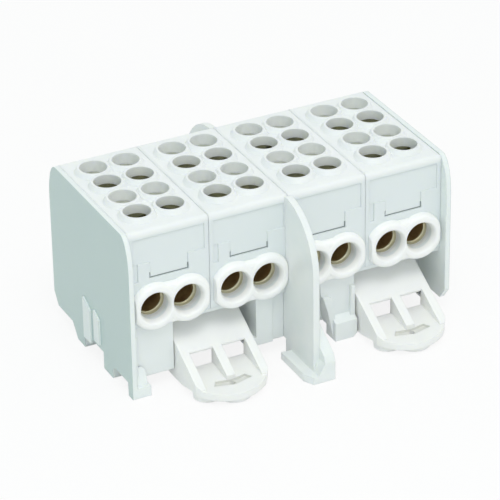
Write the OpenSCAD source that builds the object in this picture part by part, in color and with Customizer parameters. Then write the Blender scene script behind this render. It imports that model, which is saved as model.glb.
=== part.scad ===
// Four-pole distribution block: four insulating hoods over brass terminals,
// two base modules with pull-out rail latches, a winged middle support and
// two end plates. X runs along the row of poles, -Y is the front.

/* [Poles] */
// Distance from one pole to the next
pole_pitch = 25; // [24.6:0.2:30]
// Gap between neighbouring hoods, and between other parts that stand side by side
seam_gap = 0.1; // [0.06:0.02:0.3]
// Hood size from front wall to back wall
hood_depth = 48; // [47:0.5:56]
// Side wall of a hood
hood_wall = 1.55; // [1.2:0.05:1.7]
// Plastic between the top of the terminal and the deck
roof_t = 10.8; // [9:0.2:14]
// Rounding of the deck edge at front and back
deck_edge_r = 1.4; // [0.6:0.2:2.2]
// Bevel that shows each seam on the deck
seam_bevel = 0.35; // [0.2:0.05:0.6]

/* [Terminal] */
// Bore for one conductor
bore_d = 8; // [7:0.1:8.4]
// Distance between the two bores of a pole
bore_spacing = 10.2; // [10:0.1:10.8]
// Brass below a bore
bore_floor = 2.1; // [1.6:0.1:3]
// Brass above a bore, where the screws are tapped
tap_len = 9.3; // [8:0.1:12]
// Length of the brass body from front to back
terminal_len = 40.8; // [39:0.2:42]
// Play of the brass body in its hood
terminal_fit = 0.2; // [0.1:0.05:0.3]

/* [Clamp screws] */
// Diameter of a clamp screw
screw_d = 7.6; // [6:0.1:7.7]
// Radial play of a screw in its tapped hole
screw_play = 0.05; // [0.02:0.01:0.08]
// Length of a screw
screw_len = 14.5; // [12:0.5:16]
// Depth of the screw head below the collar rim, in the deep wells
sink_deep = 3.4; // [3:0.1:5]
// Depth of the screw head below the collar rim, in the shallow wells
sink_shallow = 2.7; // [2.4:0.1:4.4]
// Distance of the inner rows of wells from the middle
row_inner = 5.15; // [5:0.05:5.6]
// Distance of the outer rows of wells from the middle
row_outer = 14.8; // [14.5:0.1:16]
// Width of the driver slot
slot_w = 1.3; // [1:0.1:1.8]
// Depth of the driver slot
slot_depth = 2; // [1.4:0.1:2.6]
// Bevel on both ends of a screw
screw_bevel = 0.6; // [0.3:0.1:1]

/* [Screw wells] */
// Diameter of a well
well_d = 8; // [7.9:0.1:8.6]
// Height of a well's collar above the deck
collar_h = 1.4; // [1:0.1:2.4]
// Diameter of a collar at its rim
collar_rim_d = 9.4; // [9:0.1:9.9]
// Diameter of a collar at the deck
collar_foot_d = 11.2; // [10:0.1:11.6]

/* [Wire entries] */
// Plastic bore of a wire entry, at its throat
entry_d = 8.6; // [8.4:0.1:9]
// Diameter of an entry ring
ring_d = 14.8; // [14:0.1:15]
// How much narrower a ring is at its lip
ring_taper = 0.4; // [0.2:0.1:0.8]
// How far a ring stands out of the hood wall
ring_reach = 2.2; // [1.6:0.1:3]
// Half width of a ring on its flat side, which is less where the wing leaves less room
ring_side = 6.3; // [5.8:0.1:6.4]
// Rounding of the lip on the outside
lip_r = 1.2; // [0.6:0.1:1.4]
// Diameter of the funnel at its mouth
mouth_d = 10.6; // [10:0.1:11.2]
// Depth of the funnel inside a ring
funnel_depth = 3.1; // [2.4:0.1:3.4]
// Height of the web between the two rings of a pole
ring_web = 13.2; // [12:0.2:13.8]

/* [Marking field] */
// Depth of the T-shaped marking field
field_depth = 0.3; // [0.2:0.05:0.6]
// Width of the upper part of the field
field_w = 22.2; // [18:0.2:22.6]
// Width of the lower part of the field
tongue_w = 11.8; // [9:0.2:14]
// Height of the lower edge of the field above the bore axis
field_drop = 9.2; // [8.6:0.1:10]
// Height of the lower part of the field
tongue_h = 4.8; // [3:0.1:6]
// Height of the deck above the upper edge of the field
field_top = 2.4; // [2.2:0.1:4]
// Width of the dark line under the field
line_w = 0.4; // [0.3:0.05:0.6]
// Height of the turned-up ends of that line
line_h = 1.6; // [1:0.1:2.4]
// Width of the small keyway at the left of the field
keyway_w = 1.5; // [1:0.1:2]
// Height of the keyway
keyway_h = 5.6; // [4:0.1:6]

/* [Base and rail] */
// Height of the rail seat above the feet
seat_z = 4.3; // [3.9:0.1:5.5]
// Height of a base module
base_h = 16.7; // [16:0.1:20]
// Setback of the base from the hood wall
base_setback = 0.4; // [0.2:0.1:0.8]
// Middle of the rail, behind the middle of the block
rail_y = -1.5; // [-2:0.1:0]
// Width of the top-hat rail
rail_w = 35; // [34:0.5:35]
// Width inside the trough of the rail
trough_w = 25; // [24.4:0.2:25.6]
// Thickness of the rail's flange
rail_t = 1; // [0.8:0.1:1.2]
// Play round the rail
rail_fit = 0.2; // [0.1:0.05:0.3]
// Length of a fixed hook at the back
hook_len = 20; // [10:1:30]
// Wall thickness of a fixed hook
hook_t = 2.2; // [1.6:0.1:3]
// Width of the foot with the sloping shelf
shelf_w = 7.2; // [5:0.2:8]

/* [Latches] */
// Middle of the left latch, from the middle of the block
latch_left_x = -25; // [-26:0.1:-24.4]
// Middle of the right latch, from the middle of the block
latch_right_x = 33.3; // [32.8:0.1:34]
// Width of a latch
latch_w = 22.8; // [21:0.2:23]
// Thickness of the two side webs
web_side = 2.6; // [2:0.1:3]
// Thickness of the middle web
web_mid = 2.8; // [2:0.1:3.4]
// Play between a latch and its guides
latch_fit = 0.3; // [0.2:0.05:0.4]
// How far a latch pulls out
latch_travel = 4; // [3:0.5:5]
// How far the nose reaches under the rail
nose_reach = 1.6; // [1.2:0.1:2]
// Fall of the sloping webs for each millimetre to the front
web_slope = 0.566; // [0.5:0.01:0.6]
// Reach of the latch tip in front of the hood wall
tip_reach = 19.6; // [18:0.2:20]
// Radius of the curved front edge
tip_r = 13; // [12:0.5:18]
// Thickness of the sloping cover
cover_t = 1.3; // [1:0.1:1.8]
// Reach of a latch behind the hood wall
latch_in = 10; // [9:0.5:11]
// Distance from the hood wall to the latch windows
window_reach = 3.5; // [3:0.1:4]
// Height of the top of the latch windows above the rail seat
window_rise = 6.5; // [6:0.1:7]
// Room beside a latch above its guide
latch_room = 2.9; // [2:0.1:3.4]

/* [Middle support] */
// Thickness of the wing plate
wing_t = 2; // [1.6:0.1:3]
// Reach of the wing from the middle of the block
wing_reach = 41; // [38:0.5:44]
// Height at which the wing's front edge starts to curve
wing_curve_z = 32.6; // [26:0.2:36]
// Reach of the wing foot beyond the wing
toe_reach = 3.3; // [2:0.1:5]
// Width of the wing foot on each side of the plate
toe_w = 3.3; // [2.4:0.1:4]
// Thickness of the flat toe
toe_t = 2.3; // [1.6:0.1:3]
// Height of the rib's front face
rib_front_h = 6; // [4:0.2:8]

/* [End plates] */
// Thickness of an end plate
end_t = 1.5; // [1.2:0.1:2]
// Reach of an end plate in front of and behind the hood walls
end_reach = 3.3; // [2.4:0.1:4]
// Height over which the upper corners curve
end_curve_h = 11.4; // [8:0.2:14]
// Length of the curve from front to back
end_curve_l = 5; // [4:0.1:6]
// Width of a seat foot, along the row of poles
foot_w = 3.7; // [2.6:0.1:5]
// Width of the toe at the front of an end plate
end_toe_w = 5.8; // [4.8:0.1:7]
// Height of that toe
end_toe_h = 3.2; // [2.4:0.1:4]
// Height of the coupling ribs on the outer face
couple_t = 0.7; // [0.4:0.1:1.2]
// Height of the tall coupling rib above the feet
couple_top = 17.8; // [12:0.2:20]
// Width of a coupling rib from front to back
couple_w = 4.8; // [3:0.1:5]
// Notch under an end plate, in front of the middle
notch_front = 7.6; // [5:0.1:9]
// Notch under an end plate, behind the middle
notch_back = 5.7; // [4:0.1:8]

/* [Hidden] */
$fn = 64;

poles = 4;
plastic = [0.93, 0.95, 0.95];
brass = [0.72, 0.58, 0.28];
plated = [0.36, 0.36, 0.25];
eps = 0.01;
cut = 1;

// Derived heights
split_z = seat_z + base_h;
bore_z = split_z + bore_floor + bore_d / 2;
terminal_top = split_z + bore_floor + bore_d + tap_len;
deck_z = terminal_top + terminal_fit + roof_t;
rim_z = deck_z + collar_h;

// Derived widths and depths
hood_w = pole_pitch - seam_gap;
terminal_w = hood_w - 2 * (hood_wall + terminal_fit);
wall_y = hood_depth / 2;
base_y = wall_y - base_setback;
row_end = poles * pole_pitch / 2;
side_x = row_end - seam_gap / 2;
rows = [row_outer, row_inner, -row_inner, -row_outer];
sinks = [sink_deep, sink_shallow, sink_deep, sink_shallow];
ring_flat = min(ring_side, (pole_pitch - bore_spacing - wing_t) / 2 - 0.1);

// Derived rail sizes
rail_front = rail_y - rail_w / 2;
rail_back = rail_y + rail_w / 2;
trough_front = rail_y - trough_w / 2 + rail_fit;
trough_back = rail_y + trough_w / 2 - rail_fit;
under_flange = seat_z - rail_t - rail_fit;

// Latch side view, measured from the closed position
window_y = -wall_y - window_reach;
window_top = seat_z + window_rise;
window_sill = seat_z + 1.2;
latch_back = -wall_y + latch_in;
web_clear = 0.3;
nose_bottom = 1;
pocket_back = latch_back + web_clear + 2;
pocket_top = split_z - 1.2;
guide_z = seat_z + 0.9;
guide_t = 1;
guide_play = 0.1;
guide_reach = 0.7;
guide_len = 4.5;
guide_bar_top = seat_z + 2.7;
guide_bar_w = 1.6;

function pole_x(i) = (i - (poles + 1) / 2) * pole_pitch;

// Points of a quarter ellipse from angle a0 to a1
function curve(cx, cy, rx, ry, a0, a1, n) =
    [for (k = [0:n]) let (a = a0 + (a1 - a0) * k / n) [cx + rx * cos(a), cy + ry * sin(a)]];

// Draws a side view, given as [y, z] points, as a slab from x0 to x1
module slab(x0, x1) {
    translate([x0, 0, 0]) rotate([90, 0, 90]) linear_extrude(height = x1 - x0) children();
}

module box(x0, x1, y0, y1, z0, z1) {
    translate([x0, y0, z0]) cube([x1 - x0, y1 - y0, z1 - z0]);
}

// Puts children at the front and, turned round, at the back
module front_and_back() {
    children();
    rotate([0, 0, 180]) children();
}

module at_bores() {
    for (side = [-1, 1]) translate([side * bore_spacing / 2, 0, 0]) children();
}

module at_wells() {
    for (side = [-1, 1]) for (y = rows) translate([side * bore_spacing / 2, y, 0]) children();
}

// ---- Hood ----

module hood_block() {
    slab(-hood_w / 2, hood_w / 2) polygon(concat(
        [[-wall_y, split_z], [wall_y, split_z]],
        curve(wall_y - deck_edge_r, deck_z - deck_edge_r, deck_edge_r, deck_edge_r, 0, 90, 6),
        curve(-wall_y + deck_edge_r, deck_z - deck_edge_r, deck_edge_r, deck_edge_r, 90, 180, 6)));
}

module seam_bevels() {
    for (side = [-1, 1]) translate([side * hood_w / 2, 0, deck_z]) rotate([90, 0, 0])
        linear_extrude(height = hood_depth + 2 * cut, center = true)
            polygon([[-seam_bevel, 0], [0, -seam_bevel], [seam_bevel, 0], [0, seam_bevel]]);
}

module collar() {
    translate([0, 0, deck_z - eps])
        cylinder(h = collar_h + eps, d1 = collar_foot_d, d2 = collar_rim_d);
}

module well() {
    translate([0, 0, terminal_top]) cylinder(h = rim_z - terminal_top + cut, d = well_d);
}

// Raised ring of a wire entry, with its axis along Z and its foot on the hood wall
module entry_ring() {
    lip = (ring_d - ring_taper) / 2 - lip_r;
    rotate_extrude() polygon(concat(
        [[0, -base_setback / 2], [ring_d / 2, -base_setback / 2], [ring_d / 2, 0]],
        curve(lip, ring_reach - lip_r, lip_r, lip_r, 0, 90, 5), [[0, ring_reach]]));
}

// Bell-shaped funnel that leads a wire into the throat
module entry_funnel() {
    throat = entry_d / 2;
    mouth = mouth_d / 2;
    rotate_extrude() polygon(concat(
        [[0, ring_reach - funnel_depth], [throat, ring_reach - funnel_depth]],
        curve(mouth, ring_reach - funnel_depth, mouth - throat, funnel_depth, 174, 90, 8),
        [[mouth, ring_reach + cut], [0, ring_reach + cut]]));
}

// Puts a child at both wire entries of a pole, cut off on the middle plane and at side
module entry_pair(side) {
    height = 2 * ring_d;
    for (turn = [0, 1]) mirror([turn, 0, 0]) intersection() {
        translate([bore_spacing / 2, 0, 0]) children();
        translate([0, -height / 2, -height / 2]) cube([side, height, height]);
    }
}

// The two rings of a pole, with a low web that fills the notch between them
module ring_pair() {
    entry_pair(bore_spacing / 2 + ring_flat) entry_ring();
    half = ring_web / 2;
    step = 1.4;
    slab(-bore_spacing / 4, bore_spacing / 4)
        polygon([[-half, -base_setback / 2], [-half, ring_reach - step],
            [-half + step / 2, ring_reach - step / 3], [-half + step, ring_reach - step / 6],
            [half - step, ring_reach - step / 6], [half - step / 2, ring_reach - step / 3],
            [half, ring_reach - step], [half, -base_setback / 2]]);
}

module entry_bore() {
    translate([0, -terminal_len / 2 + cut, bore_z]) rotate([90, 0, 0])
        cylinder(h = wall_y - terminal_len / 2 + 2 * cut, d = entry_d);
}

// Recess in the wall, from x0 to x1 and z0 to z1
module wall_recess(x0, x1, z0, z1, depth) {
    box(x0, x1, -wall_y - cut, -wall_y + depth, z0, z1);
}

module marking_field() {
    low = bore_z + field_drop;
    step = low + tongue_h;
    half = field_w / 2;
    tongue = tongue_w / 2;
    wall_recess(-half, half, step, deck_z - field_top, field_depth);
    wall_recess(-tongue, tongue, low, step + eps, field_depth);
    wall_recess(-half, -half + keyway_w, step - keyway_h, step + eps, field_depth + 0.1);
    wall_recess(-tongue, tongue, low - line_w, low + eps, 2 * field_depth);
    for (side = [-1, 1])
        wall_recess(side * tongue - line_w / 2, side * tongue + line_w / 2,
            low - line_w, low + line_h, 2 * field_depth);
}

module hood(i) {
    cavity_x = terminal_w / 2 + terminal_fit;
    cavity_y = terminal_len / 2 + terminal_fit;
    color(plastic) translate([pole_x(i), 0, 0]) difference() {
        union() {
            hood_block();
            at_wells() collar();
            front_and_back() translate([0, -wall_y, bore_z]) rotate([90, 0, 0]) ring_pair();
        }
        box(-cavity_x, cavity_x, -cavity_y, cavity_y, split_z - cut, terminal_top + terminal_fit);
        at_wells() well();
        front_and_back() {
            at_bores() entry_bore();
            translate([0, -wall_y, bore_z]) rotate([90, 0, 0]) entry_pair(pole_pitch / 2) entry_funnel();
            marking_field();
        }
        seam_bevels();
    }
}

// ---- Terminal and screws ----

module terminal(i) {
    color(brass) translate([pole_x(i), 0, 0]) difference() {
        box(-terminal_w / 2, terminal_w / 2, -terminal_len / 2, terminal_len / 2,
            split_z, terminal_top);
        at_bores() translate([0, 0, bore_z]) rotate([90, 0, 0])
            cylinder(h = terminal_len + 2 * cut, d = bore_d, center = true);
        at_wells() translate([0, 0, bore_z])
            cylinder(h = terminal_top - bore_z + cut, d = screw_d + 2 * screw_play);
    }
}

// Screw k of pole i: 1 to 4 on the left from back to front, 5 to 8 on the right
module clamp_screw(i, k) {
    side = k <= 4 ? -1 : 1;
    row = (k - 1) % 4;
    head = rim_z - sinks[row];
    r = screw_d / 2;
    color(plated) translate([pole_x(i) + side * bore_spacing / 2, rows[row], head - screw_len])
        difference() {
            rotate_extrude() polygon([[0, 0], [r - screw_bevel, 0], [r, screw_bevel],
                [r, screw_len - screw_bevel], [r - screw_bevel, screw_len], [0, screw_len]]);
            translate([-slot_w / 2, -r - cut, screw_len - slot_depth])
                cube([slot_w, 2 * r + 2 * cut, slot_depth + cut]);
        }
}

// ---- Base modules ----

// Fixed hook that grips the back flange of the rail
module rail_hook(x) {
    inner = rail_back + rail_fit;
    slab(x - hook_len / 2, x + hook_len / 2) polygon([
        [inner, seat_z + eps], [inner, under_flange], [inner - nose_reach - rail_fit, under_flange],
        [inner - nose_reach - rail_fit, under_flange - 0.9], [inner, nose_bottom],
        [inner + hook_t, nose_bottom], [inner + hook_t, seat_z + eps]]);
}

// Pocket that a latch slides in, with its middle at x
module latch_pocket(x, right) {
    half = latch_w / 2 + latch_fit;
    groove = guide_reach + latch_fit;
    front = -wall_y - latch_travel;
    box(x - half, x + half, front, pocket_back, seat_z - cut, pocket_top);
    box(x, right, front, pocket_back, guide_bar_top, pocket_top);
    box(x - half - groove, x + half + groove, latch_back - guide_len - latch_travel - latch_fit,
        pocket_back, guide_z - guide_play, guide_z + guide_t + guide_play);
}

module base_block(x0, x1) {
    box(x0, x1, -base_y, base_y, seat_z, split_z);
}

module base_left() {
    right = latch_left_x + latch_w / 2 + latch_fit + latch_room;
    relief_x = right + 5.3;
    color(plastic) difference() {
        union() {
            base_block(-side_x, -wing_t / 2 - seam_gap / 2);
            rail_hook(latch_left_x);
        }
        latch_pocket(latch_left_x, right);
        box(relief_x, 0, -wall_y - cut, -base_y + 1, seat_z - cut, split_z - 1.4);
    }
}

// Foot with a sloping shelf at the front of the right base module
module shelf_foot(x1) {
    x0 = x1 - shelf_w;
    face = wall_y + 2.2;
    top = seat_z + 3;
    difference() {
        slab(x0, x1) polygon([[-base_y + eps, 0], [-face, 0], [-face, top - 1.5],
            [-base_y - 0.2, top], [-base_y + eps, top]]);
        translate([x1, 0, 0]) rotate([90, 45, 0]) cube([1.8, 1.8, 3 * face], center = true);
    }
    // rib on each side of the shelf, the left one slanting outwards
    translate([0, -base_y + eps, 0]) rotate([90, 0, 0]) linear_extrude(height = 1.2) {
        polygon([[x0, 0.5], [x0 + 0.6, 0.5], [x0 + 0.6, top + 0.6], [x0 - 0.6, top + 7],
            [x0 - 3.3, top + 7.4], [x0 - 1.7, top + 2.2]]);
        polygon([[x1 - 1.6, 2], [x1, 2], [x1, top + 9], [x1 - 1.2, top + 9]]);
    }
    box(x0, x1, -base_y, -base_y + 3, 0, seat_z + eps);
}

// Hollow beside the wing, up to the slanting side of the shelf foot at x
module shelf_hollow(x) {
    translate([0, -base_y + 4, 0]) rotate([90, 0, 0]) linear_extrude(height = base_y)
        polygon([[0, seat_z - cut], [x - 0.7, seat_z - cut], [x - 1.7, seat_z + 5.2],
            [x - 3.4, seat_z + 10.4], [x - 3.9, split_z - 0.9], [0, split_z - 0.9]]);
    box(0, x - 1.7, -base_y, -10, seat_z - cut, seat_z + 5);
}

module base_right() {
    left = latch_right_x - latch_w / 2 - latch_fit;
    color(plastic) difference() {
        union() {
            base_block(wing_t / 2 + seam_gap / 2, side_x);
            rail_hook((left + wing_t / 2) / 2 + hook_len / 2);
            shelf_foot(left - latch_fit);
        }
        latch_pocket(latch_right_x, side_x + cut);
        box(latch_right_x + latch_w / 2 + latch_fit + guide_bar_w, side_x + cut,
            -wall_y - latch_travel, pocket_back, seat_z - cut, pocket_top);
        shelf_hollow(left - latch_fit - shelf_w);
    }
}

// ---- Rail latch ----

function web_top(y) = window_top + web_slope * (y - window_y);

web_toe = window_y - (window_top - window_sill + 0.9) / web_slope;

// Web whose back half is only as deep as its guide needs
module open_web(x0, x1) {
    slab(x0, x1) polygon([
        [web_toe, window_sill - 0.9], [web_toe, window_sill - 2], [window_y + 0.6, nose_bottom],
        [window_y + 0.6, window_top - cover_t / 2], [latch_back - guide_len, seat_z + web_clear],
        [latch_back, seat_z + web_clear], [latch_back, web_top(latch_back)]]);
}

// Web with the nose that reaches under the rail
module nose_web(x0, x1) {
    step = rail_front - 2 * rail_fit;
    slab(x0, x1) polygon([
        [web_toe, window_sill - 0.9], [web_toe, window_sill - 2], [window_y, nose_bottom],
        [rail_front + nose_reach - 1.2, nose_bottom], [rail_front + nose_reach, nose_bottom + 1.2],
        [rail_front + nose_reach, under_flange], [step, under_flange],
        [step, seat_z + web_clear], [latch_back, seat_z + web_clear],
        [latch_back, web_top(latch_back)]]);
}

// Curved front of the latch, seen from above
module tip_outline(inset) {
    half = latch_w / 2 - inset;
    tip = -wall_y - tip_reach + inset;
    intersection() {
        translate([-half, tip]) square([2 * half, window_y - tip]);
        translate([0, tip + tip_r]) circle(r = tip_r);
    }
    translate([-half, tip + tip_r - sqrt(tip_r * tip_r - half * half)])
        square([2 * half, window_y - tip - tip_r + sqrt(tip_r * tip_r - half * half)]);
}

module tip_lobes() {
    tip = -wall_y - tip_reach;
    translate([0, tip + 5.4]) circle(r = 5);
    for (side = [-1, 1]) translate([side * (latch_w / 2 - 4.2), tip + 8.2]) circle(r = 4);
    translate([-latch_w / 2 + 2, tip + 6]) square([latch_w - 4, window_y - tip - 6]);
}

module rail_latch(x) {
    half = latch_w / 2;
    tip = -wall_y - tip_reach;
    shelf = window_sill - 2;
    sill_drop = 1.9;
    color(plastic) translate([x, 0, 0]) difference() {
        union() {
            // webs, with their toes cut to the curve of the tray
            intersection() {
                union() {
                    nose_web(-half, -half + web_side);
                    open_web(-web_mid / 2, web_mid / 2);
                    open_web(half - web_side, half);
                }
                linear_extrude(height = deck_z) {
                    tip_outline(0);
                    translate([-half, window_y - cut]) square([latch_w, -window_y]);
                }
            }
            // sloping cover over the back of the webs
            slab(-half, half) polygon([[window_y, window_top], [latch_back, web_top(latch_back)],
                [latch_back, web_top(latch_back) - cover_t], [window_y, window_top - cover_t / 2]]);
            // tray floor, falling to the tip
            intersection() {
                slab(-half, half) polygon([[window_y, window_sill], [window_y, window_sill - 2.4],
                    [tip, shelf - sill_drop], [tip, window_sill - sill_drop]]);
                linear_extrude(height = deck_z) tip_outline(0);
            }
            // three-lobed lip below the tip
            intersection() {
                slab(-half, half) polygon([[tip + tip_r - 1, shelf - 0.4], [tip + tip_r - 4, 0.5], [tip, 0.5],
                    [tip, shelf - sill_drop + 0.6], [window_y, window_sill - 2]]);
                linear_extrude(height = deck_z) tip_lobes();
            }
            // guide ribs
            for (side = [-1, 1])
                translate([side * (half + guide_reach / 2), 0, 0])
                    box(-guide_reach / 2 - eps, guide_reach / 2, latch_back - guide_len, latch_back,
                        guide_z, guide_z + guide_t);
        }
        translate([0, tip + 6.2, 0]) cylinder(h = window_top, d = 1.6);
        // shallow arrow-shaped dip round the hole
        translate([0, tip + 6.4, window_sill - sill_drop])
            linear_extrude(height = window_top) polygon([[-6, -0.6], [0, -2], [6, -0.6], [4.6, 1.4], [0, 0.6],
                [-4.6, 1.4]]);
    }
}

// ---- Middle support ----

module wing() {
    toe_y = -wing_reach - toe_reach;
    top = deck_z - 0.5;
    // curved plate
    slab(-wing_t / 2, wing_t / 2) polygon(concat(
        [[-wall_y, 0], [-wall_y, top]],
        curve(-wall_y, wing_curve_z, wing_reach - wall_y, top - wing_curve_z, 95, 180, 12),
        [[-wing_reach, 0]]));
    // flat toe with one corner cut
    linear_extrude(height = toe_t) polygon([[-wing_t / 2 - toe_w, -wall_y - toe_w],
        [-wing_t / 2 - toe_w, toe_y + toe_reach], [-wing_t / 2 - toe_w / 2, toe_y],
        [wing_t / 2, toe_y], [wing_t / 2, -wall_y - toe_w]]);
    // slanting corner between the toe and the rib
    translate([0, -wing_reach, 0]) rotate([90, 0, 0]) linear_extrude(height = toe_reach)
        polygon([[-wing_t / 2, 0], [wing_t / 2 + 0.2, 0], [wing_t / 2 + 0.2, rib_front_h],
            [wing_t / 2, rib_front_h], [-wing_t / 2, toe_t]]);
    // sloping rib on the other side
    slab(wing_t / 2 - eps, wing_t / 2 + toe_w) polygon([[-wall_y - 0.2, 0], [toe_y, 0], [toe_y, rib_front_h],
        [toe_y + 1, rib_front_h + 2.2], [-wall_y - 2.4, split_z - 1.6], [-wall_y - 0.2, split_z - 1.6]]);
}

module middle_support() {
    color(plastic) {
        front_and_back() wing();
        box(-wing_t / 2, wing_t / 2, -wall_y - eps, wall_y + eps, seat_z, split_z - seam_gap);
    }
}

// ---- End plates ----

module end_outline() {
    reach = wall_y + end_reach;
    curve_z = deck_z - end_curve_h;
    notch_z = seat_z + 1.1;
    polygon(concat(
        [[-reach, 0], [-wall_y - 0.4, 0], [-wall_y - 0.2, seat_z], [trough_front - 2, seat_z],
         [trough_front, seat_z - 1.4], [trough_front, 0], [-notch_front, 0], [-notch_front, notch_z],
         [notch_back, notch_z], [notch_back, 0], [trough_back, 0], [trough_back + 3.4, seat_z],
         [wall_y + 0.5, seat_z],
         [reach, seat_z + 3.8]],
        curve(reach - end_curve_l, curve_z, end_curve_l, end_curve_h, 0, 90, 10),
        curve(-reach + end_curve_l, curve_z, end_curve_l, end_curve_h, 90, 180, 10)));
}

// End plate as it stands at the left end of the row
module end_plate() {
    outer = -row_end - end_t;
    reach = wall_y + end_reach;
    toe_x = outer + end_toe_w;
    slab(outer, -row_end) end_outline();
    // seat feet, which reach under the base
    intersection() {
        slab(outer, outer + foot_w) end_outline();
        union() {
            box(outer, outer + foot_w, trough_front - 3, -notch_front + eps, -cut, seat_z);
            box(outer, outer + foot_w, notch_back - eps, trough_back + 4, -cut, seat_z);
        }
    }
    // toe with an arched ramp
    box(outer, toe_x, -reach, -wall_y - 0.4, 0, end_toe_h);
    intersection() {
        slab(toe_x - 3.8, toe_x - 0.6) polygon([[-reach + 0.9, end_toe_h - eps], [-wall_y - 0.1, end_toe_h - eps],
            [-wall_y - 0.1, seat_z + 4], [-wall_y - 0.3, seat_z + 4]]);
        translate([toe_x - 2.2, 0, 0]) rotate([90, 0, 0]) linear_extrude(height = 2 * reach) union() {
            translate([-1.6, 0]) square([3.2, seat_z + 2.4]);
            translate([0, seat_z + 2.4]) circle(r = 1.6);
        }
    }
    // inner rib behind the front edge
    box(-row_end - eps, -row_end + 1.2, -wall_y - 1.4, -wall_y - seam_gap / 2, end_toe_h - eps, split_z - 2);
    // coupling ribs on the outer face
    slab(outer - couple_t, outer + eps) polygon([[0, seat_z], [couple_w, seat_z], [couple_w, couple_top],
        [0, couple_top - couple_w / 2]]);
    slab(outer - couple_t, outer + eps) polygon([[-notch_front + 1.4, seat_z + 2.7], [-2.6, seat_z + 2.7],
        [-2.6, couple_top - 0.8], [-notch_front + 1.4, couple_top - couple_w / 2 - 0.2]]);
}

module end_plate_left() {
    color(plastic) end_plate();
}

module end_plate_right() {
    color(plastic) rotate([0, 0, 180]) end_plate();
}

hood(1);  // hood_1
hood(2);  // hood_2
hood(3);  // hood_3
hood(4);  // hood_4
terminal(1);  // terminal_1
terminal(2);  // terminal_2
terminal(3);  // terminal_3
terminal(4);  // terminal_4
base_left();
base_right();
middle_support();
end_plate_left();
end_plate_right();
rail_latch(latch_left_x);  // rail_latch_left
rail_latch(latch_right_x);  // rail_latch_right
for (i = [1:poles]) for (k = [1:8])
    clamp_screw(i, k);
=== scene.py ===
"""Four-pole power distribution block: finishes, threaded clamp screws, studio and camera."""
import bpy
import bmesh
from math import cos, pi, radians, sin
from mathutils import Matrix, Vector


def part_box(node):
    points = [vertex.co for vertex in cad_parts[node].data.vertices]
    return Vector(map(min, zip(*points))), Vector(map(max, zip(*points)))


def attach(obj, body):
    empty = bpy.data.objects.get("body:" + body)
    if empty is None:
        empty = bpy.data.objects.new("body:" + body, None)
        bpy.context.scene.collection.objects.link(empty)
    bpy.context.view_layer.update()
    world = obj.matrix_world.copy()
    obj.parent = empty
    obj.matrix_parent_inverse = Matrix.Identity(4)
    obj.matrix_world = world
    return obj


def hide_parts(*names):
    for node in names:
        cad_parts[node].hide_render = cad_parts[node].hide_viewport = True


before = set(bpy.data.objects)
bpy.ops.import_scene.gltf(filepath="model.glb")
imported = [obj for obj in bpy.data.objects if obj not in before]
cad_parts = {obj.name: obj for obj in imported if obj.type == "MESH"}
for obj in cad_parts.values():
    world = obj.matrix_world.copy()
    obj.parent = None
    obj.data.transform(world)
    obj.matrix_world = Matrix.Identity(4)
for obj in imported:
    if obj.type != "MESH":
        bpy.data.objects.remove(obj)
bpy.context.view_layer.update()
MM = 0.001
WHITE = (1, 1, 1, 1)


# ---- Shader expressions ----

class Pin:
    """A shader socket. An expression on pins adds its maths nodes to the finish."""

    def __init__(self, finish, socket):
        self.finish, self.socket = finish, socket

    def __add__(self, other):
        return self.finish.maths("ADD", self, other)

    def __sub__(self, other):
        return self.finish.maths("SUBTRACT", self, other)

    def __mul__(self, other):
        return self.finish.maths("MULTIPLY", self, other)

    def __truediv__(self, other):
        return self.finish.maths("DIVIDE", self, other)

    def __neg__(self):
        return self.finish.maths("MULTIPLY", self, -1.0)

    def __abs__(self):
        return self.finish.maths("ABSOLUTE", self, 0.0)

    __radd__ = __add__

    def above(self, low, high):
        """0 below low, 1 above high, smooth between."""
        return self.finish.node("MapRange", {"interpolation_type": "SMOOTHSTEP"},
                                {"Value": self, "From Min": low, "From Max": high})


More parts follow.
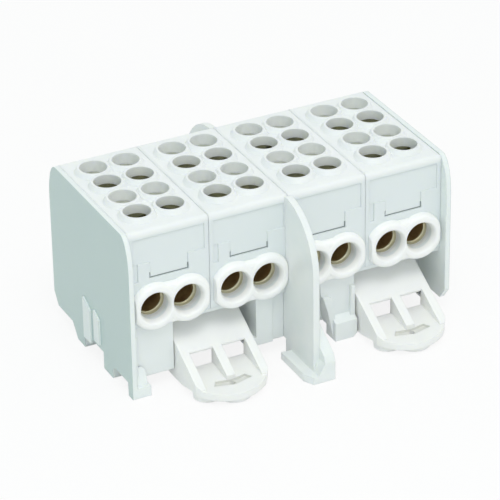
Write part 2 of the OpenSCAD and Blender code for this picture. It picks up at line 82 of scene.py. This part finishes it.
class Finish:
    """The shader nodes of one material, or of the world around the block."""

    def __init__(self, owner):
        owner.use_nodes = True
        self.owner, self.tree = owner, owner.node_tree
        self.tree.nodes.clear()

    def node(self, kind, settings=None, sockets=None, out=0):
        made = self.tree.nodes.new("ShaderNode" + kind)
        for key, value in (settings or {}).items():
            setattr(made, key, value)
        for key, value in (sockets or {}).items():
            if isinstance(value, Pin):
                self.tree.links.new(value.socket, made.inputs[key])
            else:
                made.inputs[key].default_value = value
        return Pin(self, made.outputs[out]) if made.outputs else None

    def maths(self, operation, a, b):
        return self.node("Math", {"operation": operation}, {0: a, 1: b})

    def place(self):
        return self.node("TexCoord", out="Object")

    def along(self, axis):
        """Place along X, Y or Z, in millimetres."""
        return self.node("SeparateXYZ", sockets={"Vector": self.place()}, out=axis) / MM

    def within(self, value, low, high, ease=0.04):
        """1 where a value lies between low and high."""
        return value.above(low - ease, low + ease) * (-value).above(-high - ease, -high + ease)

    def stretched(self, scale):
        return self.node("Mapping", sockets={"Vector": self.place(), "Scale": scale})

    def noise(self, size, detail=2.0, rough=0.5, at=None):
        """Cloudy noise from 0 to 1, with spots about size millimetres across."""
        return self.node("TexNoise", sockets={
            "Vector": at or self.place(), "Scale": 1 / (size * MM),
            "Detail": detail, "Roughness": rough})

    def blend(self, mask, first, second):
        """From one colour to another. The mixer's colour inputs have the numbers 6 and 7."""
        return self.node("Mix", {"data_type": "RGBA"}, {"Factor": mask, 6: first, 7: second},
                         out=2)

    def bump(self, height, depth, edge):
        """Surface relief depth millimetres deep, over edges eased by edge millimetres."""
        eased = self.node("Bevel", {"samples": 8}, {"Radius": edge * MM})
        return self.node("Bump", sockets={
            "Height": height, "Distance": depth * MM, "Strength": 1.0, "Normal": eased})

    def unlit_rays(self):
        """1 for the rays that should meet plain white instead of the studio's light."""
        rays = [self.node("LightPath", out=f"Is {kind} Ray")
                for kind in ("Camera", "Glossy", "Transmission")]
        return self.maths("MINIMUM", rays[0] + rays[1] + rays[2], 1.0)

    def shade(self, **sockets):
        """The surface itself. Words stand for the shader's sockets, with _ for a space."""
        named = {key.replace("_", " "): value for key, value in sockets.items()}
        surface = self.node("BsdfPrincipled", sockets=named)
        self.node("OutputMaterial", sockets={"Surface": surface})
        return self.owner


def new_finish(name):
    return Finish(bpy.data.materials.new(name))


def colour(r, g, b):
    """A display colour from 0 to 255 as linear light."""
    return tuple(((c / 255 + 0.055) / 1.055) ** 2.4 if c > 10 else c / 3295
                 for c in (r, g, b)) + (1,)


# ---- Zones of painted shade and painted highlight on the mouldings, by place in millimetres ----

SIDE_Y = (23.1, 24.12)          # a hood's long sides
SIDE_Z = (20.5, 49.6)
RING_Y = (24.15, 24.5)          # where the rings rise out of the long sides
LINE_Y = (23.34, 23.52)         # floor of the line under a marking field
LINE_Z = (35.8, 38.0)
PLATE_X = (51.4, 51.6)          # outer side of an end plate
TRAY_FRONT = (-43.6, 3.6)       # y and z at the front of a latch's sloping tray
TRAY_SLOPE = 0.118
ARROW_Y = (-39.8, -35.2)
ARROW_X = ((-31.6, -18.4), (26.7, 39.9))
ARROW_DEPTH = (0.1, 0.9)
ARROW_FLOOR_Z = (3.4, 3.5)


def shaded_long_wall(f):
    """The upright long sides of a hood, drawn darker than its deck as painted shade."""
    return f.within(abs(f.along("Y")), *SIDE_Y) * f.within(f.along("Z"), *SIDE_Z, ease=0.5)


def lit_entry_ring(f):
    """The rings of the wire entries, drawn whiter than the long sides as a painted highlight."""
    return abs(f.along("Y")).above(*RING_Y)


def line_shadow(f):
    """Painted shade on the floor of the narrow line under each marking field."""
    return f.within(abs(f.along("Y")), *LINE_Y) * f.within(f.along("Z"), *LINE_Z)


def shaded_outer_face(f):
    """The flat outer side of an end plate, between its edges and its raised ribs, drawn darker
    and cooler as painted shade.
    """
    return f.within(abs(f.along("X")), *PLATE_X)


def arrow_dip_shade(f):
    """The dip that points out the driver hole on each latch, below the tray's slope, greyed as
    painted shade.
    """
    x, y, z = f.along("X"), f.along("Y"), f.along("Z")
    front_y, front_z = TRAY_FRONT
    below = front_z + (y - front_y) * TRAY_SLOPE - z
    beside = f.within(x, *ARROW_X[0]) + f.within(x, *ARROW_X[1])
    in_dip = f.within(below, *ARROW_DEPTH) * f.within(y, *ARROW_Y)
    return in_dip * beside * z.above(*ARROW_FLOOR_Z)


# ---- Finishes ----

def moulded_plastic(name, shade, cloud, roughness, grain, edge, *zones):
    """Satin thermoplastic: faint flow clouds, a fine spark-eroded grain and eased mould edges.

    Each zone is a mask and the colour painted there, as painted shade or a painted highlight."""
    f = new_finish(name)
    flow = f.noise(14, 3, 0.6)
    specks = f.noise(0.8, 1)
    pores = f.noise(grain, 2, 0.6)
    tone = f.blend(flow.above(0.35, 0.7), shade, cloud)
    for mask, zone_colour in zones:
        tone = f.blend(mask(f), tone, zone_colour)
    return f.shade(
        Base_Color=tone,
        Roughness=roughness + (flow - 0.5) * 0.10 + (specks - 0.5) * 0.08,
        Normal=f.bump(pores + flow * 2.5, 0.012, edge),
        IOR=1.5,
        Subsurface_Weight=0.15,
        Subsurface_Radius=(1, 1, 0.6),
        Subsurface_Scale=2.5 * MM)


def plated_screw(name, dull, rubbed, roughness):
    """Passivated steel, with fine turning rings on it and brighter rubbed places."""
    f = new_finish(name)
    stain = f.noise(1.6, 3, 0.6)
    rings = f.noise(0.25, 2, at=f.stretched((0.15, 0.15, 1)))
    return f.shade(
        Base_Color=f.blend(stain.above(0.3, 0.75), dull, rubbed),
        Metallic=1.0,
        Roughness=roughness + stain * 0.2,
        Normal=f.bump(rings, 0.015, 0.12))


def machined_brass(name, pale, dulled, metallic, roughness):
    """Sawn and reamed brass, dulled in patches, with fine rings along the bores."""
    f = new_finish(name)
    tarnish = f.noise(5, 3, 0.6)
    reamed = f.noise(0.35, 2, at=f.stretched((0.12, 1, 0.12)))
    return f.shade(
        Base_Color=f.blend(tarnish.above(0.3, 0.75), pale, dulled),
        Metallic=metallic,
        Roughness=roughness + tarnish * 0.2,
        Normal=f.bump(reamed, 0.02, 0.15))


hood_plastic = moulded_plastic(
    "hood_plastic", colour(241, 243, 243), colour(237, 240, 240), 0.36, 0.35, 0.32,
    # painted shade: the long sides drawn darker than the deck
    (shaded_long_wall, colour(229, 235, 236)),
    # painted highlight: the entry rings drawn whiter than the walls
    (lit_entry_ring, colour(250, 250, 249)),
    # painted shade in the line under each marking field
    (line_shadow, colour(158, 168, 168)))
base_plastic = moulded_plastic(
    "base_plastic", colour(238, 242, 242), colour(233, 238, 238), 0.40, 0.35, 0.25)
plate_plastic = moulded_plastic(
    "plate_plastic", colour(238, 243, 242), colour(233, 240, 239), 0.42, 0.45, 0.25,
    # painted shade: the plates' outer sides drawn darker and cooler
    (shaded_outer_face, colour(198, 214, 212)))
wing_plastic = moulded_plastic(
    "wing_plastic", colour(240, 243, 242), colour(235, 240, 239), 0.40, 0.45, 0.25)
latch_plastic = moulded_plastic(
    "latch_plastic", colour(248, 248, 246), colour(245, 245, 243), 0.38, 0.35, 0.25,
    # painted shade in the latch's arrow dip
    (arrow_dip_shade, colour(226, 226, 221)))
brass = machined_brass(
    "terminal_brass", colour(196, 166, 112), colour(166, 130, 84), 0.6, 0.30)
# painted sheen: the lips are a far paler copy of the terminal brass
sheen_lip_brass = machined_brass(
    "sheen_lip_brass", colour(244, 240, 214), colour(232, 222, 184), 0.3, 0.10)
olive_steel = plated_screw("screw_olive", colour(84, 84, 52), colour(124, 120, 80), 0.30)
bright_steel = plated_screw("screw_bright", colour(196, 198, 184), colour(216, 218, 206), 0.22)

FINISH_BY_NAME = {
    "hood": hood_plastic, "terminal": brass, "rail_latch": latch_plastic,
    "base": base_plastic, "middle_support": wing_plastic, "end_plate": plate_plastic}


def screw_steel(node):
    """The deeper screws, those with odd numbers, are bright plated and the others olive."""
    return bright_steel if int(node[-1]) % 2 else olive_steel


def finish_of(node):
    """The finish of a solid, by the start of its name."""
    if node.startswith("clamp_screw"):
        return screw_steel(node)
    return next(finish for start, finish in FINISH_BY_NAME.items() if node.startswith(start))


for node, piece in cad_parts.items():
    if not piece.data.materials:
        piece.data.materials.append(finish_of(node))
    for slot in piece.material_slots:
        slot.material = finish_of(node)


# ---- Turned and cut shapes ----

MERGE = 0.01 * MM


def spun(mesh, line, closed=False, steps=28, **how):
    """Sweeps a line of (radius, height) points once round the Z axis. dvec makes it climb."""
    verts = [mesh.verts.new((r * MM, 0, z * MM)) for r, z in line]
    ahead = verts[1:] + verts[:1] if closed else verts[1:]
    edges = [mesh.edges.new(pair) for pair in zip(verts, ahead)]
    bmesh.ops.spin(mesh, geom=verts + edges, cent=(0, 0, 0), axis=(0, 0, 1),
                   angle=2 * pi, steps=steps, **how)
    bmesh.ops.remove_doubles(mesh, verts=mesh.verts, dist=MERGE)


def turned(mesh, outline, closed=False, steps=28):
    """A solid of revolution: its outline is closed, or starts and ends on the axis."""
    spun(mesh, outline, closed, steps, use_merge=True)


def part_of(build, *values):
    """Runs one bmesh recipe on a mesh of its own, with its faces turned outwards."""
    mesh = bmesh.new()
    build(mesh, *values)
    bmesh.ops.recalc_face_normals(mesh, faces=mesh.faces)
    data = bpy.data.meshes.new("part")
    mesh.to_mesh(data)
    mesh.free()
    return data


def assembled(parts, name, material):
    """One object from pairs of a part and the matrix that puts it in place."""
    mesh = bmesh.new()
    for part, place in parts:
        copy = part.copy()
        copy.transform(place)
        mesh.from_mesh(copy)
    data = bpy.data.meshes.new(name)
    mesh.to_mesh(data)
    mesh.free()
    data.materials.append(material)
    for face in data.polygons:
        face.use_smooth = True
    data.set_sharp_from_angle(angle=radians(40))
    piece = bpy.data.objects.new(name, data)
    bpy.context.collection.objects.link(piece)
    return piece


# ---- Clamp screws ----

SCREW_R = 3.8
SCREW_LEN = 14.5
SLOT_W = 1.3
SLOT_DEPTH = 2.0
HEAD_EASE = 0.3
JAW_SINK = 0.2                  # the jaws start this far down in the neck
THREAD_PITCH = 1.25
THREAD_DEPTH = 0.55
THREAD_STEPS = 28
NECK_TOP = SCREW_LEN - SLOT_DEPTH
ROOT_R = SCREW_R - THREAD_DEPTH
CORE_GAP = 0.1                  # the core stays this far inside the thread's root
CORE_R = ROOT_R - CORE_GAP
TIP_CHAMFER = 0.5
COLLAR_H = 0.9                  # the collar closes the thread off under the head
COLLAR_EDGE = 0.4
THREAD_TOP = NECK_TOP - 0.7


def thread_skin(mesh, low, high):
    """A helical thread between two heights, spun from one zigzag line."""
    turns = int((high - low) / THREAD_PITCH) + 3
    start = low - 1.5 * THREAD_PITCH
    zigzag = [(SCREW_R if k % 2 else ROOT_R, start + k * THREAD_PITCH / 2)
              for k in range(2 * turns + 1)]
    spun(mesh, zigzag, steps=THREAD_STEPS, use_merge=False,
         dvec=(0, 0, THREAD_PITCH * MM / THREAD_STEPS))
    for height, keep_above in ((low, True), (high, False)):
        bmesh.ops.bisect_plane(mesh, geom=mesh.verts[:] + mesh.edges[:] + mesh.faces[:],
                               plane_co=(0, 0, height * MM), plane_no=(0, 0, 1),
                               clear_inner=keep_above, clear_outer=not keep_above)


def slot_jaw(mesh, side):
    """Half of the head, on one side of the driver slot, with eased edges."""
    disc = bmesh.ops.create_circle(mesh, cap_ends=True, radius=SCREW_R * MM, segments=36)
    geometry = disc["verts"] + list({e for v in disc["verts"] for e in v.link_edges}) + \
        list({f for v in disc["verts"] for f in v.link_faces})
    cut = bmesh.ops.bisect_plane(mesh, geom=geometry, plane_co=(side * SLOT_W / 2 * MM, 0, 0),
                                 plane_no=(side, 0, 0), clear_inner=True)
    face = next(f for f in cut["geom"] if isinstance(f, bmesh.types.BMFace))
    bmesh.ops.translate(mesh, verts=face.verts[:], vec=(0, 0, (NECK_TOP - JAW_SINK) * MM))
    raised = bmesh.ops.extrude_face_region(mesh, geom=[face], use_keep_orig=True)
    lid = next(f for f in raised["geom"] if isinstance(f, bmesh.types.BMFace))
    bmesh.ops.translate(mesh, verts=lid.verts[:], vec=(0, 0, (SLOT_DEPTH + JAW_SINK) * MM))
    bmesh.ops.bevel(mesh, geom=lid.edges[:], offset=HEAD_EASE * MM, offset_type="OFFSET",
                    segments=3, profile=0.5, affect="EDGES", material=-1)


CORE = ((0, 0), (ROOT_R - TIP_CHAMFER, 0), (CORE_R, TIP_CHAMFER),
        (CORE_R, NECK_TOP - CORE_GAP), (CORE_R, NECK_TOP), (0, NECK_TOP))
COLLAR = ((0, NECK_TOP - COLLAR_H), (ROOT_R, NECK_TOP - COLLAR_H),
          (SCREW_R, NECK_TOP - COLLAR_EDGE), (SCREW_R, NECK_TOP), (0, NECK_TOP))
SCREW = [part_of(turned, CORE), part_of(turned, COLLAR),
         part_of(thread_skin, TIP_CHAMFER, THREAD_TOP),
         part_of(slot_jaw, 1), part_of(slot_jaw, -1)]

# The slots stand 35 to 115 degrees round, as if each screw were driven home on its own.
for count, node in enumerate(sorted(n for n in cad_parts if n.startswith("clamp_screw"))):
    low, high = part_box(node)
    foot = Matrix.Translation(((low[0] + high[0]) / 2, (low[1] + high[1]) / 2, low[2]))
    slot_turn = Matrix.Rotation(radians(35 + count * 23 % 80), 4, "Z")
    piece = assembled([(part, foot @ slot_turn) for part in SCREW],
                      node + "_threaded", screw_steel(node))
    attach(piece, node)
    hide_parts(node)


# ---- Brass lips of the bores, in a paler brass as painted sheen ----

BORE_Z = 27.1
BORE_SPACING = 10.2
# Radius and height of the countersunk lip, whose zero height is the terminal's face.
LIP_OUTLINE = ((3.88, -0.4), (4.28, -0.4), (4.28, 1.1), (4.24, 1.1),
               (4.2, 0.55), (4.08, 0.12), (3.88, -0.03))

LIP = part_of(turned, LIP_OUTLINE, True, 48)
for pole in range(1, 5):
    low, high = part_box(f"terminal_{pole}")
    lips = []
    for side in (-1, 1):
        x = (low[0] + high[0]) / 2 + side * BORE_SPACING / 2 * MM
        for y, turn in ((low[1], 90), (high[1], -90)):
            lips.append((LIP, Matrix.Translation((x, y, BORE_Z * MM))
                         @ Matrix.Rotation(radians(turn), 4, "X")))
    piece = assembled(lips, f"terminal_{pole}_lips", sheen_lip_brass)
    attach(piece, "block")


# ---- Floor, light and camera ----

FLOOR_SIZE = 6                  # metres
FLOOR_VEIL = 0.86               # share of plain white that the camera sees on the floor
WALL_GREEN = (0.74, 0.86, 0.84, 1)
WALL_PALE = (0.96, 1.0, 0.985, 1)
WALL_SPAN = (-0.9, 0.3)         # where the light turns from the first colour to the second
WALL_STRENGTH = 0.73
AIM = (0, 0, 0.03)
# Name, place, width and power of each soft light.
LIGHTS = (("key", (-0.35, -0.90, 0.45), 0.6, 0.3),
          ("top", (-0.15, -0.50, 1.10), 0.6, 4.5),
          ("spark", (-0.40, -0.65, 0.51), 0.05, 0.16))
CAMERA_TURN, CAMERA_RISE, CAMERA_ROLL = radians(-26.475), radians(29.413), radians(-0.912)
CAMERA_AIM = Vector((-0.0002444, 0, 0.021541))
CAMERA_DISTANCE = 0.86664
FOCAL_LENGTH = 212.83


def studio_floor():
    """A pale floor that is white to the camera and still takes the block's soft shadow."""
    f = new_finish("studio_floor")
    paint = f.blend(f.noise(60, 2).above(0.2, 0.8), colour(246, 246, 246), colour(243, 243, 243))
    matt = f.node("BsdfDiffuse", sockets={"Color": paint})
    glow = f.node("Emission", sockets={"Color": WHITE, "Strength": 1.0})
    mixed = f.node("MixShader", sockets={0: f.unlit_rays() * FLOOR_VEIL, 1: matt, 2: glow})
    f.node("OutputMaterial", sockets={"Surface": mixed})
    mesh = bmesh.new()
    bmesh.ops.create_grid(mesh, x_segments=2, y_segments=2, size=FLOOR_SIZE)
    data = bpy.data.meshes.new("floor")
    mesh.to_mesh(data)
    mesh.free()
    data.materials.append(f.owner)
    floor = bpy.data.objects.new("floor", data)
    bpy.context.collection.objects.link(floor)


def studio_light(name, at, size, watts):
    lamp = bpy.data.lights.new(name, "AREA")
    lamp.shape, lamp.size, lamp.energy = "DISK", size, watts
    stand = bpy.data.objects.new(name, lamp)
    stand.location = at
    stand.rotation_euler = (Vector(AIM) - Vector(at)).to_track_quat("-Z", "Y").to_euler()
    bpy.context.collection.objects.link(stand)


def studio_world():
    """Soft light that is greener from the left and paler from the right."""
    world = bpy.data.worlds.new("studio")
    bpy.context.scene.world = world
    f = Finish(world)
    facing = f.node("SeparateXYZ", sockets={"Vector": f.node("TexCoord", out="Generated")},
                    out="X")
    across = f.node("MapRange", sockets={
        "Value": facing, "From Min": WALL_SPAN[0], "From Max": WALL_SPAN[1]})
    walls = f.blend(across, WALL_GREEN, WALL_PALE)
    soft = f.node("Background", sockets={"Color": walls, "Strength": WALL_STRENGTH})
    white = f.node("Background", sockets={"Color": WHITE, "Strength": 1.0})
    seen = f.node("MixShader", sockets={0: f.unlit_rays(), 1: soft, 2: white})
    f.node("OutputWorld", sockets={"Surface": seen})


def camera():
    """The camera stands left of the block's front and looks down on it."""
    back = Vector((sin(CAMERA_TURN) * cos(CAMERA_RISE), -cos(CAMERA_TURN) * cos(CAMERA_RISE),
                   sin(CAMERA_RISE)))
    level = Vector((cos(CAMERA_TURN), sin(CAMERA_TURN), 0))
    upright = back.cross(level)
    right = level * cos(CAMERA_ROLL) + upright * sin(CAMERA_ROLL)
    up = upright * cos(CAMERA_ROLL) - level * sin(CAMERA_ROLL)
    lens = bpy.data.cameras.new("camera")
    lens.lens, lens.sensor_width, lens.clip_start, lens.clip_end = FOCAL_LENGTH, 36, 0.05, 20
    stand = bpy.data.objects.new("camera", lens)
    bpy.context.collection.objects.link(stand)
    place = Matrix((right, up, back)).transposed().to_4x4()
    place.translation = CAMERA_AIM + back * CAMERA_DISTANCE
    stand.matrix_world = place
    bpy.context.scene.camera = stand


studio_floor()
studio_world()
for light in LIGHTS:
    studio_light(*light)
camera()
bpy.context.scene.view_settings.view_transform = "Standard"
